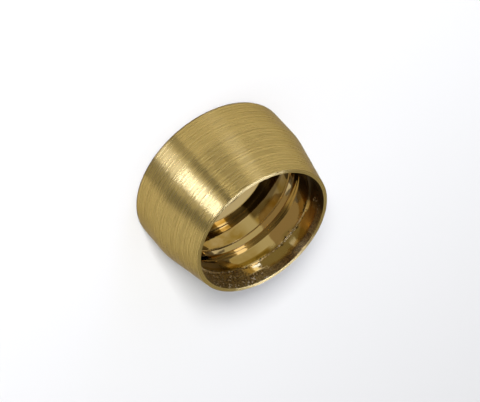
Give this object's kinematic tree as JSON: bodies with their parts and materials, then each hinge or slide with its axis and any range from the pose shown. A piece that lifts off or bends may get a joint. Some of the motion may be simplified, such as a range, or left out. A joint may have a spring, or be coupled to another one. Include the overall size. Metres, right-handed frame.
{
  "type": "compression olive",
  "caption": "Turned brass ring, parallel at the rear and tapered to a thin mouth, whose stepped and grooved bore takes a tube end up to an inner stop and seals it in a compression joint.",
  "frame": {"origin": "centre of the rear face, on the turning axis; the olive stands on that face", "axes": "+Z along the turning axis, out of the mouth; X and Y lie across it and are alike"},
  "size_m": [0.013, 0.013, 0.0072],
  "materials": {
    "brass": "fine turning lines outside, smooth stained bore"
  },
  "bodies": {
    "root": {"olive": "brass"}
  },
  "joints": []
}
